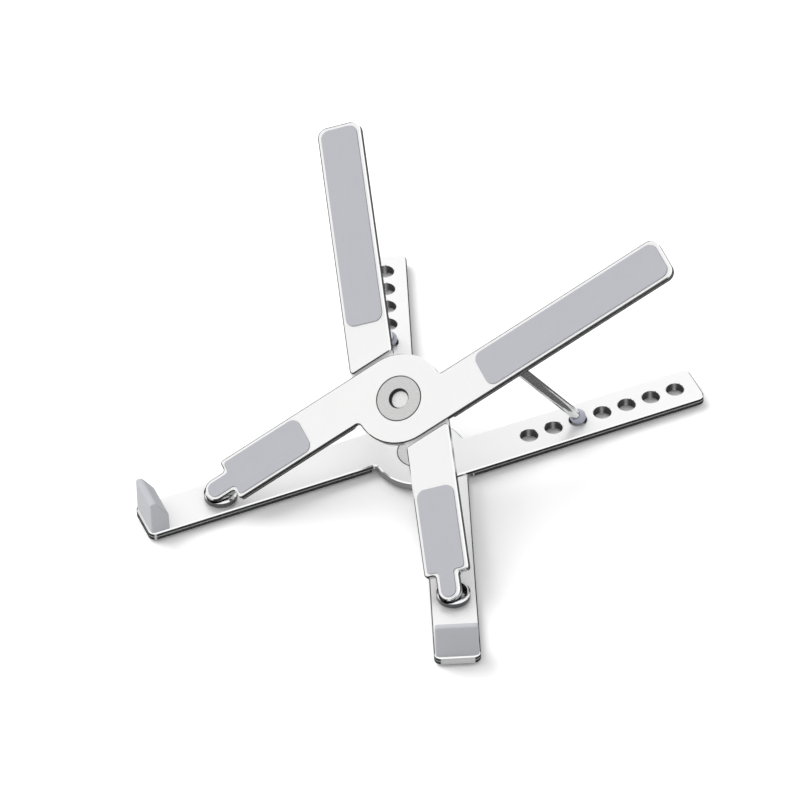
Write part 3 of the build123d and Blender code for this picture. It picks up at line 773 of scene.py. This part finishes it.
# ---- silicone --------------------------------------------
class STAND_OT_pads(bpy.types.Operator):
    """Mould the four silicone pads of the upper arms"""

    bl_idname = "stand.pads"
    bl_label = "Pads"

    def execute(self, context):
        pads = context.scene.stand_pads
        material = silicone("pad silicone", pads.tint)
        for tag, side in SIDES.items():
            for end, corners in (("front", self.front(pads)), ("rear", self.rear(pads))):
                outline = rounded_loop([(x, side * y, r) for x, y, r in corners])
                bm = prism(outline, -pads.sunk, pads.proud)
                piece = new_piece(f"{end}_pad_{tag}_silicone", bm, material,
                                  arm_axes("upper", tag), soften=pads.rounding)
                fit(piece, f"upper_arm_{tag}", "pad", f"{end}_pad_{tag}")
        return {"FINISHED"}

    def half_width(self, pads):
        """Half the width of a pad."""
        return pads.arm_width / 2 - pads.margin - pads.gap

    def front(self, pads):
        """Corners of a front pad, which narrows to a round tip on the tongue."""
        middle, half = arm_middle(), self.half_width(pads)
        corner, neck = pads.corner - pads.gap, pads.neck_corner
        start, end = -(pads.front_start - pads.gap), -(pads.front_end + pads.gap)
        radius = pads.tongue_radius - pads.gap
        tip = -pads.tongue - radius
        return [
            (end, middle - half, corner), (end, middle + half, corner),
            (start, middle + half, neck), (start, middle + radius, neck),
            (tip, middle + radius, radius * FULL_ROUND),
            (tip, middle - radius, radius * FULL_ROUND),
            (start, middle - radius, neck), (start, middle - half, neck),
        ]

    def rear(self, pads):
        """Corners of a rear pad."""
        middle, half = arm_middle(), self.half_width(pads)
        corner = pads.corner - pads.gap
        start, end = pads.rear_start + pads.gap, pads.rear_end - pads.gap
        return [
            (start, -middle - half, corner), (end, -middle - half, corner),
            (end, -middle + half, corner), (start, -middle + half, corner),
        ]


class STAND_OT_hooks(bpy.types.Operator):
    """Mould the two silicone hooks with their pockets for the tabs"""

    bl_idname = "stand.hooks"
    bl_label = "Hooks"

    softer = 0.62  # share of the rounding on the other edges

    def execute(self, context):
        hooks = context.scene.stand_hooks
        middle = arm_middle()
        material = silicone("hook silicone", hooks.tint, grain=2600.0, rough=0.58)
        for tag, side in SIDES.items():
            bm = self.body(hooks, side * middle)
            self.pocket(bm, hooks, side * middle)
            piece = new_piece(f"hook_cover_{tag}_silicone", bm, material, arm_axes("lower", tag),
                              soften=hooks.rounding, segments=6)
            fit(piece, f"lower_arm_{tag}", "hook", f"hook_cover_{tag}")
        return {"FINISHED"}

    def body(self, hooks, middle):
        """Side profile run across the arm; the outer uprights are rounded most, the foot not."""
        crest = -hooks.outer + hooks.lean
        profile = [
            (-hooks.outer, 0.0), (crest, hooks.top), (crest + hooks.crest, hooks.top),
            (-hooks.inner, hooks.shoulder), (-hooks.inner, 0.0),
        ]
        bm = bmesh.new()
        weight = bm.edges.layers.float.new("bevel_weight_edge")
        ends = []
        for y in (middle - hooks.width / 2, middle + hooks.width / 2):
            ends.append([bm.verts.new((x, y, z)) for x, z in profile])
            bm.faces.new(ends[-1])
        for i in range(len(profile)):
            k = (i + 1) % len(profile)
            bm.faces.new((ends[0][i], ends[0][k], ends[1][k], ends[1][i]))
        for edge in bm.edges:
            low = all(vert.co.z < NIL for vert in edge.verts)
            outer = all(vert.co.x < crest + NIL for vert in edge.verts)
            across = abs(edge.verts[0].co.y - edge.verts[1].co.y) > NIL
            edge[weight] = 0.0 if low else 1.0 if outer and not across else self.softer
        bmesh.ops.recalc_face_normals(bm, faces=bm.faces)
        return bm

    def pocket(self, bm, hooks, middle):
        """Blind pocket for the metal tab, sunk from the underside."""
        inner = min(bm.faces, key=lambda face: face.calc_center_median().z)
        bmesh.ops.inset_region(bm, faces=[inner], thickness=hooks.tab_thickness / 2)
        centre = inner.calc_center_median().x
        near = -hooks.tab_outer + hooks.tab_thickness
        for vert in inner.verts:
            vert.co.x = near if vert.co.x > centre else -hooks.tab_outer
            side = 1 if vert.co.y > middle else -1
            vert.co.y = middle + side * hooks.tab_width / 2
        grown = bmesh.ops.extrude_face_region(bm, geom=[inner])["geom"]
        bmesh.ops.delete(bm, geom=[inner], context="FACES_ONLY")
        for vert in (item for item in grown if isinstance(item, bmesh.types.BMVert)):
            vert.co.z = hooks.tab_height


class STAND_OT_feet(bpy.types.Operator):
    """Mould the five silicone feet"""

    bl_idname = "stand.feet"
    bl_label = "Feet"

    def execute(self, context):
        feet = context.scene.stand_feet
        middle = arm_middle()
        material = silicone("foot silicone", feet.tint, grain=2800.0, rough=0.6)
        top = -feet.plate + feet.sunk
        for tag, side in SIDES.items():
            matrix = arm_axes("lower", tag)
            floor = -matrix.translation.z
            places = {
                "front": (-feet.front_middle, side * middle, feet.front_length, feet.front_corner),
                "rear": (feet.rear_middle, -side * middle, feet.rear_length, feet.rear_corner),
            }
            for end, (x, y, long, corner) in places.items():
                half = long / 2
                outline = rounded_loop([
                    (x + i * half, y + k * feet.width / 2, corner)
                    for i, k in ((-1, -1), (1, -1), (1, 1), (-1, 1))
                ])
                bm = prism(outline, floor, top, soft_low=True, soft_high=False)
                piece = new_piece(f"{end}_foot_{tag}_silicone", bm, material, matrix,
                                  soften=feet.rounding)
                fit(piece, f"lower_arm_{tag}", "foot", f"{end}_foot_{tag}")
        self.hub(feet, top, material)
        return {"FINISHED"}

    def hub(self, feet, top, material):
        """Round foot with grip grooves turned into its underside."""
        matrix = arm_axes("lower", "b")
        floor = -matrix.translation.z
        edge, radius = feet.rounding, feet.hub_radius
        profile = [(0.0, top), (radius, top)]
        profile += arc((radius - edge, floor + edge), edge, 0.0, -pi / 2)
        pitch = radius / (feet.grooves + feet.land)
        for i in range(feet.grooves, 0, -1):
            middle = i * pitch
            profile += [(middle + edge, floor), (middle + edge / 2, floor + edge),
                        (middle - edge / 2, floor + edge), (middle - edge, floor)]
        profile.append((0.0, floor))
        piece = new_piece("hub_foot_silicone", lathe(profile, 96), material, matrix)
        fit(piece, "lower_arm_b", "foot", "hub_foot")


# ---- metal parts -----------------------------------------
class STAND_OT_knuckles(bpy.types.Operator):
    """Polish the knuckle cups, with painted shade on their walls, and finish their swivels, pins and rivets"""

    bl_idname = "stand.knuckles"
    bl_label = "Knuckles"

    def execute(self, context):
        metal = context.scene.stand_metals
        cup = self.cup_polish_and_painted_shade(metal)
        plate = brushed("swivel brush", metal.steel, (1.0, 0.05, 1.0))
        pin = polished("pin polish", metal.steel, 0.14, stretch=(0.08, 1.0, 1.0))
        rivet = brushed("rivet brush", metal.steel, (1.0, 1.0, 0.2))
        for tag in SIDES:
            dress(cup, f"knuckle_base_{tag}")
            dress(plate, f"knuckle_swivel_{tag}")
            dress(pin, f"tilt_pin_{tag}")
            dress(rivet, f"knuckle_rivet_{tag}", f"swivel_rivet_{tag}")
        return {"FINISHED"}

    def cup_polish_and_painted_shade(self, metal):
        """Polished rim on a wall and floor painted dark as shade."""
        work = Finish("knuckle polish and painted shade")
        height = work.add("ShaderNodeSeparateXYZ", {}, {0: work.coordinates}, output="Z")
        rim = work.range(height, CUP_WALL_TOP, CUP_RIM_FOOT)
        haze = work.noise(160.0, detail=3.0)
        marks = work.noise(2600.0, detail=2.0)
        # the wall and floor colour is painted shade, not a finish of the metal
        wall = work.mix(haze, rgba(metal.cup, 0.9), rgba(metal.cup, 1.1))
        return work.shade(
            Base_Color=work.mix(rim, wall, rgba(metal.chrome, 1.1)), Metallic=1.0,
            Roughness=0.16 - rim * 0.08 + haze * 0.06 + marks * 0.04,
            Normal=work.bump(marks, distance=0.000004, strength=0.3),
        )


class STAND_OT_hubs(bpy.types.Operator):
    """Turn the hub rings and rivets and finish the washers"""

    bl_idname = "stand.hubs"
    bl_label = "Hubs"

    def execute(self, context):
        hubs = context.scene.stand_hubs
        washer = nylon()
        for level, rim in (("lower", hubs.lower_rim), ("upper", hubs.upper_rim)):
            matrix = arm_axes(level, "a")
            # both carry painted shade: a ring at its bore and rim, a rivet round its face
            ring = turned_ring(f"{level} ring", matrix, hubs.ring_feed, inner=hubs.bore, outer=rim)
            rivet = turned_ring(f"{level} rivet", matrix, hubs.rivet_feed, gain=1.15,
                                outer=hubs.rivet_rim, metallic=0.45)
            dress(ring, f"{level}_cap")
            dress(rivet, f"{level}_rivet")
            dress(washer, f"{level}_washer")
        return {"FINISHED"}


class STAND_OT_props(bpy.types.Operator):
    """Polish the prop rods, brush their brackets and mould the ball tips"""

    bl_idname = "stand.props"
    bl_label = "Props"

    def execute(self, context):
        metal = context.scene.stand_metals
        props = context.scene.stand_props
        rubber = silicone("tip silicone", props.tint, grain=4200.0, rough=0.5)
        bracket = brushed("bracket brush", metal.steel, (0.06, 1.0, 1.0))
        pin = polished("hinge pin polish", metal.steel, 0.16)
        for tag in SIDES:
            matrix = prop_axes(tag)
            rod = polished(f"rod polish {tag}", metal.chrome, 0.08, matrix=matrix,
                           stretch=(1.0, 1.0, 0.03), metallic=0.86)
            dress(rod, f"prop_rod_{tag}")
            dress(bracket, f"prop_bracket_{tag}")
            dress(pin, f"prop_pin_{tag}")
            piece = new_piece(f"prop_tip_{tag}_silicone", self.ball(props), rubber, matrix)
            fit(piece, f"prop_{tag}", "tip", f"prop_tip_{tag}")
        return {"FINISHED"}

    def ball(self, props):
        """Ball on the end of the rod: rolled lip, mould seam and a blind bore."""
        ball, lip, steps = props.ball, props.lip, 40
        mouth = acos((props.rod + lip) / ball)
        rim = ball * sin(mouth) - lip * 0.6
        profile = [(0.0, -props.socket), (props.rod, -props.socket)]
        profile += arc((props.rod + lip, rim), lip, pi, -pi / 2)
        for i in range(1, steps + 1):
            turn = mouth - (mouth + pi / 2) * i / steps
            radius = ball - (props.seam if abs(turn) < props.seam_spread else 0.0)
            profile.append((radius * max(0.0, cos(turn)), radius * sin(turn)))
        profile[-1] = (0.0, -ball)
        return lathe(profile, 64)


# ---- repeated parts --------------------------------------
def grow(name, tree_inputs, build, material, matrix):
    """Run a Geometry Nodes tree with the given input sizes and keep its mesh, in place."""
    tree = bpy.data.node_groups.new(name, "GeometryNodeTree")
    sockets = tree.interface
    for label, value in tree_inputs.items():
        kind = "NodeSocketInt" if isinstance(value, int) else "NodeSocketFloat"
        sockets.new_socket(label, in_out="INPUT", socket_type=kind)
    sockets.new_socket("Geometry", in_out="OUTPUT", socket_type="NodeSocketGeometry")
    work = NodeWork(tree)
    inputs = {label: work.add("NodeGroupInput", output=label) for label in tree_inputs}
    plain = work.add("GeometryNodeRealizeInstances", {}, {"Geometry": build(work, inputs)})
    done = work.add("GeometryNodeSetMaterial", {}, {"Geometry": plain, "Material": material})
    work.add("NodeGroupOutput", {}, {"Geometry": done})
    piece = bpy.data.objects.new(name, bpy.data.meshes.new(name))
    bpy.context.scene.collection.objects.link(piece)
    maker = piece.modifiers.new("rule", "NODES")
    maker.node_group = tree
    for item in sockets.items_tree:
        if item.in_out == "INPUT":
            maker[item.identifier] = tree_inputs[item.name]
    bpy.context.view_layer.update()
    settle(piece)
    if material.name not in piece.data.materials:
        raise RuntimeError(f"{name} came out without its material")
    piece.data.shade_smooth()
    piece.data.set_sharp_from_angle(angle=SMOOTH_BELOW)
    piece.data.transform(matrix)
    return piece


class STAND_OT_screws(bpy.types.Operator):
    """Repeat a socket screw through each prop bracket"""

    bl_idname = "stand.screws"
    bl_label = "Screws"

    def execute(self, context):
        screws = context.scene.stand_screws
        material = polished("screw steel", context.scene.stand_metals.screw, 0.22)
        sizes = {
            "Spacing": screws.spacing, "Head Radius": screws.head,
            "Head Height": screws.head_height, "Shank Radius": screws.shank,
            "Shank Length": screws.shank_length, "Hexagon": screws.hexagon,
            "Depth": screws.depth,
        }
        for tag, side in SIDES.items():
            matrix = arm_axes("upper", tag) @ Matrix.Translation(
                (screws.pivot, -side * arm_middle(), -screws.plate))
            piece = grow(f"bracket_screws_{tag}_steel", sizes, self.tree, material, matrix)
            fit(piece, f"upper_arm_{tag}", "screw", f"bracket_screws_{tag}")
        return {"FINISHED"}

    def tree(self, work, size):
        """Head with a hexagonal socket and a plain shank, repeated along a line."""
        def rod(vertices, radius, depth, middle):
            mesh = work.add("GeometryNodeMeshCylinder", {}, {
                "Vertices": vertices, "Radius": radius, "Depth": depth})
            lift = work.add("ShaderNodeCombineXYZ", {}, {"Z": middle})
            return work.add("GeometryNodeTransform", {}, {"Geometry": mesh, "Translation": lift})

        head = rod(40, size["Head Radius"], size["Head Height"], size["Head Height"] * 0.5)
        hexagon = rod(6, size["Hexagon"], size["Depth"] * 2.0, 0.0)
        cut = work.add("GeometryNodeMeshBoolean", {"operation": "DIFFERENCE"}, {
            "Mesh 1": head, "Mesh 2": hexagon})
        shank = rod(24, size["Shank Radius"], size["Shank Length"],
                    size["Head Height"] + size["Shank Length"] * 0.5)
        screw = work.add("GeometryNodeJoinGeometry", {}, {"Geometry": [shank, cut]})
        start = work.add("ShaderNodeCombineXYZ", {}, {"X": size["Spacing"] * -0.5})
        step = work.add("ShaderNodeCombineXYZ", {}, {"X": size["Spacing"]})
        line = work.add("GeometryNodeMeshLine", {}, {
            "Count": 2, "Start Location": start, "Offset": step})
        return work.add("GeometryNodeInstanceOnPoints", {}, {"Points": line, "Instance": screw})


class STAND_OT_bores(bpy.types.Operator):
    """Burnish the row of holes in each lower arm"""

    bl_idname = "stand.bores"
    bl_label = "Bores"

    def execute(self, context):
        holes = context.scene.stand_holes
        feet = context.scene.stand_feet
        metal = context.scene.stand_metals
        material = polished("burnished bore", metal.bore, 0.34, stretch=(1.0, 1.0, 8.0))
        sizes = {
            "Count": holes.count, "Pitch": holes.pitch, "Radius": holes.radius,
            "Skin": holes.skin, "Height": feet.plate - 2 * holes.inset,
        }
        for tag, side in SIDES.items():
            matrix = arm_axes("lower", tag) @ Matrix.Translation(
                (holes.first, -side * arm_middle(), -feet.plate / 2))
            piece = grow(f"bores_{tag}", sizes, self.tree, material, matrix)
            fit(piece, f"lower_arm_{tag}", "arm")
        return {"FINISHED"}

    def tree(self, work, size):
        """A thin sleeve, repeated along a line."""
        circle = work.add("GeometryNodeCurvePrimitiveCircle", {}, {
            "Resolution": 64, "Radius": size["Radius"] - size["Skin"] * 0.5})
        section = work.add("GeometryNodeCurvePrimitiveQuadrilateral", {}, {
            "Width": size["Skin"], "Height": size["Height"]})
        sleeve = work.add("GeometryNodeCurveToMesh", {}, {
            "Curve": circle, "Profile Curve": section})
        step = work.add("ShaderNodeCombineXYZ", {}, {"X": size["Pitch"]})
        line = work.add("GeometryNodeMeshLine", {}, {"Count": size["Count"], "Offset": step})
        return work.add("GeometryNodeInstanceOnPoints", {}, {"Points": line, "Instance": sleeve})


# ---- add-on ----------------------------------------------
STEPS = (
    STAND_OT_stage, STAND_OT_arms, STAND_OT_pads, STAND_OT_hooks, STAND_OT_feet,
    STAND_OT_knuckles, STAND_OT_hubs, STAND_OT_props, STAND_OT_screws, STAND_OT_bores,
)


class STAND_PT_parts(bpy.types.Panel):
    """The stand's parts and their sizes"""

    bl_label = "Laptop Stand"
    bl_idname = "STAND_PT_parts"
    bl_space_type = "VIEW_3D"
    bl_region_type = "UI"
    bl_category = "Stand"

    def draw(self, context):
        for step in STEPS:
            self.layout.operator(step.bl_idname)
        for name, group in GROUPS.items():
            box = self.layout.box()
            box.label(text=group.__doc__)
            for key in group.__annotations__:
                box.prop(getattr(context.scene, name), key)


def register():
    for name, group in GROUPS.items():
        bpy.utils.register_class(group)
        setattr(bpy.types.Scene, name, PointerProperty(type=group))
    for cls in (*STEPS, STAND_PT_parts):
        bpy.utils.register_class(cls)


def unregister():
    for cls in (STAND_PT_parts, *reversed(STEPS)):
        bpy.utils.unregister_class(cls)
    for name, group in reversed(GROUPS.items()):
        delattr(bpy.types.Scene, name)
        bpy.utils.unregister_class(group)


def main():
    """Make the whole scene."""
    register()
    for step in STEPS:
        family, action = step.bl_idname.split(".")
        getattr(getattr(bpy.ops, family), action)()


if __name__ == "__main__":
    main()
